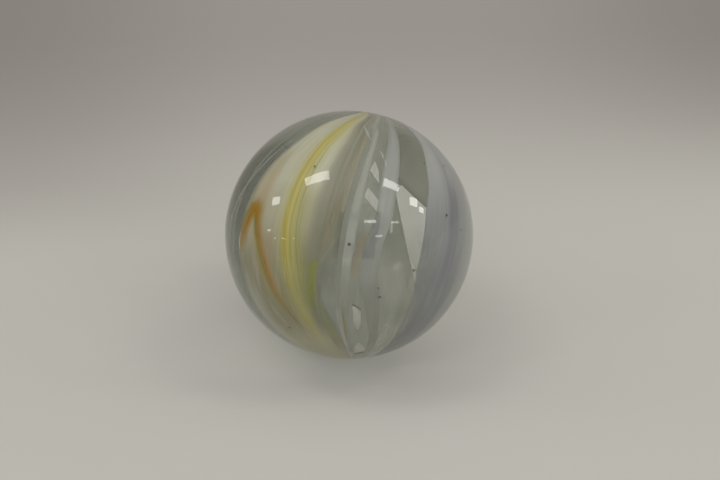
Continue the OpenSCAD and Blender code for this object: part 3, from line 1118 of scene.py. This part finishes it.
# painted shade: white wisps written in dim grey along the ball's left rim
shaded_rim_white = milk_glass("shaded_rim_wisp_finish", (146, 148, 136), (142, 144, 133), (138, 140, 129), 19, 0.3,
                       (130, 132, 121), (140, 142, 131))
rim_path = [
    (-56.8, 47.0), (-59.4, 37.2), (-62.9, 28.9), (-65.6, 21.5), (-68.1, 14.8),
    (-69.8, 8.0), (-70.6, 2.0), (-71.0, -6.0), (-71.0, -16.0),
]
dress(wisps("rim_wisps", [rim_path], 0.0013, 17), shaded_rim_white, "white_glass")
tan_wisp = strand_glass("tan_wisp_finish", (148, 138, 96), 0.9)
tan_path = [(-0.2, -33.4), (0.2, -41.4), (-1.2, -52.5)]
dress(wisps("tan_wisps", [tan_path], 0.0005, 16), tan_wisp, "tan_glass")

# Strokes of the low haze: painted light that lightens the lower front in lines
foot_light_strokes = [
    (26, 0, 2.8, -62, -46, 7, 0.5),
    (41, -0.4, 3, -62, -50, 7, 0.2),
    (-1.6, 0, 3.4, -62, -36, 7, 0.3),
    (33.4, 0, 1.5, -23, -18, 7, 0.25),
    (33, 0, 4, -36, -26, 7, -0.15),
    (38.9, -0.13, 1.3, -46, -28, 5, 0.35),
    (22.7, 0, 1.3, -15.5, -13, 2.5, 0.4),
]
# Name, the sheet's longitudes, latitudes and height, and what its finish takes
hazes = [
    # painted light: pale wisps that lighten the lower front
    ("low_haze", (-14, 50, -66, 10, 0.00012),
     (170, 170, 158), (-3, 40, 9), (-60, -12, 14), 4.5, 0.2, foot_light_strokes),
    ("high_haze", (-6, 12, -10, 66, 0.00014), (178, 178, 165), (-3, 8, 3), (6, 55, 12), 1.6, 0.12),
    ("edge_haze", (-61, -52, -20, 66, 0.0001), (160, 160, 145), (-56, -54.5, 4), (2, 54, 12), 1.4, 0.1),
    ("back_haze", (178, 202, -40, 50, 0.0001), (172, 171, 160), (180, 196, 2), (-34, 44, 6), 2, 0.35),
    # painted shade: a pale sheet on the back shell over the lower part of the see-through window, standing
    # in for shade seen through it
    ("window_haze", (156, 174, -30, 8, 0.00018),
     (176, 175, 164), (159, 171, 3), (-26, -8, 12), 2.6, 0.5),
]
for name, place, *look in hazes:
    dress(haze_sheet(name, *place), haze_glass(f"{name}_finish", *look), "white_glass")

dress(seeds("dark_seeds", 0.00028, 0.0006), speck_glass("dark_seed_finish", (60, 60, 52)), "clear_glass")
dress(seeds("pale_seeds", 0.00045, 0.00085), speck_glass("pale_seed_finish", (158, 158, 146)), "clear_glass")


# ---- stage


def sweep_finish():
    """Matt off-white with painted shade: it greys towards the backdrop, sooner on the left, and
    darkens at the backdrop's two sides."""
    finish = Finish("pale_sweep_finish")
    point = finish.object_point()
    x, y, _ = finish.split(point)
    # painted shade: greyer towards the backdrop, sooner on the left, and darker at the backdrop's two sides
    backdrop_shade = y.ease(0.05, 0.24)
    side_shade = abs(x - 0.01).ease(0.04, 0.19)
    left_shade = x.ease(0, -0.14) * y.ease(0.03, 0.1)
    cloud = finish.noise(point, 9, 3)
    colour = finish.layers(
        finish.blend(cloud, (187, 184, 176), (182, 179, 171)),
        (backdrop_shade, (152, 147, 141)),
        (left_shade * 0.5, (148, 143, 137)),
        (side_shade * backdrop_shade * 0.6, (126, 119, 112)),
    )
    finish.set(Base_Color=colour, Roughness=0.9, Specular_IOR_Level=0.1)
    return finish.material


def sweep():
    """Pale floor that curves up into a backdrop: a line, a quarter circle and a line, carried
    across."""
    reach, bend, top = 2.0, 0.5, 1.4
    turn_y = 0.14
    arc = np.radians(np.linspace(0, 90, 40))[1:]
    floor_y = np.linspace(-reach, turn_y, 12)
    wall_z = np.linspace(0.6, top, 6)
    y = np.concatenate([floor_y, turn_y + bend * np.sin(arc), np.full(6, turn_y + bend)])
    z = np.concatenate([0 * floor_y, bend - bend * np.cos(arc), wall_z]) + FLOOR_Z
    x = np.linspace(-reach, reach, 30)
    flat = (len(y), len(x))
    grid = np.stack([np.broadcast_to(part, flat) for part in (x, y[:, None], z[:, None])], -1)
    index = np.arange(grid[..., 0].size).reshape(flat)
    corners = (index[:-1, :-1], index[:-1, 1:], index[1:, 1:], index[1:, :-1])
    quads = np.stack(corners, -1).reshape(-1, 4)
    mesh = bpy.data.meshes.new("studio_sweep")
    mesh.from_pydata(grid.reshape(-1, 3).tolist(), [], quads.tolist())
    mesh.polygons.foreach_set("use_smooth", np.ones(len(quads), bool))
    mesh.materials.append(sweep_finish())
    add_object("studio_sweep", mesh)


def panel(name, place, size, radiance, roll=None):
    """A soft rectangular panel that faces down or, with a roll in degrees, faces the ball."""
    data = bpy.data.lights.new(name, "AREA")
    data.shape = "RECTANGLE"
    data.size, data.size_y = size
    data.energy = np.pi * size[0] * size[1] * radiance
    data.color = (1.0, 0.985, 0.95)
    lamp = add_object(name, data)
    lamp.location = place
    if roll is not None:
        aim = (-Vector(place)).to_track_quat("-Z", "Y")
        lamp.rotation_euler = (aim @ Quaternion((0, 0, 1), np.radians(roll))).to_euler()


def lamps():
    """Two ceiling panels over the ball, small far ones round it, and an even room.

    The room lights a surface brightly. It is as pale as the floor where it is seen, past the
    floor's edge or through the glass, and dim where it is mirrored."""
    panel("ceiling_panel_0", (-0.43, -0.03, 0.9), (0.37, 0.15), 6.2)
    panel("ceiling_panel_1", (0.62, -0.09, 0.9), (0.31, 0.14), 8.0)
    # Place, size, roll and radiance of each far panel
    far = [
        (1.25, -0.17, 0.85, 0.2, 0.18, -60, 8.5),
        (1.365, -0.17, 0.65, 0.12, 0.11, -56, 8.5),
        (-1.333, 0.028, 0.736, 0.2, 0.15, 54, 6.5),
        (0.481, -1.04, 1.015, 0.27, 0.07, -14, 7.0),
        (0.983, -0.825, 0.833, 0.2, 0.038, -28, 6.0),
        (0.928, -0.942, 0.771, 0.05, 0.22, -28, 4.0),
        (0.67, -1.183, 0.707, 0.18, 0.04, -15, 6.0),
        (-1.472, -0.278, 0.289, 0.1, 0.05, 34, 6.0),
        (-1.425, -0.494, 0.242, 0.05, 0.03, 28, 5.0),
        (-1.331, -0.667, 0.346, 0.12, 0.02, 27, 4.0),
        (-1.169, -0.869, 0.47, 0.06, 0.03, 24, 6.0),
    ]
    for i, (x, y, z, w, h, roll, radiance) in enumerate(far):
        panel(f"far_panel_{i}", (x, y, z), (w, h), radiance, roll)
    world = bpy.data.worlds.new("room")
    world.use_nodes = True
    tree = world.node_tree
    lit = tree.nodes["Background"]
    lit.inputs[0].default_value = (0.97, 0.985, 1.0, 1)
    lit.inputs[1].default_value = 1.04
    path = tree.nodes.new("ShaderNodeLightPath")
    pale = (1.0, 0.975, 0.91, 1)
    looks = [
        ("Is Camera Ray", pale, 0.42),
        ("Is Transmission Ray", pale, 0.42),
        ("Is Glossy Ray", (0.95, 0.97, 1.0, 1), 0.24),
    ]
    result = lit
    for ray, colour, strength in looks:
        seen = tree.nodes.new("ShaderNodeBackground")
        seen.inputs[0].default_value = colour
        seen.inputs[1].default_value = strength
        mix = tree.nodes.new("ShaderNodeMixShader")
        tree.links.new(path.outputs[ray], mix.inputs[0])
        tree.links.new(result.outputs[0], mix.inputs[1])
        tree.links.new(seen.outputs[0], mix.inputs[2])
        result = mix
    tree.links.new(result.outputs[0], tree.nodes["World Output"].inputs["Surface"])
    bpy.context.scene.world = world


sweep()
lamps()
bpy.context.scene.view_settings.view_transform = "Standard"
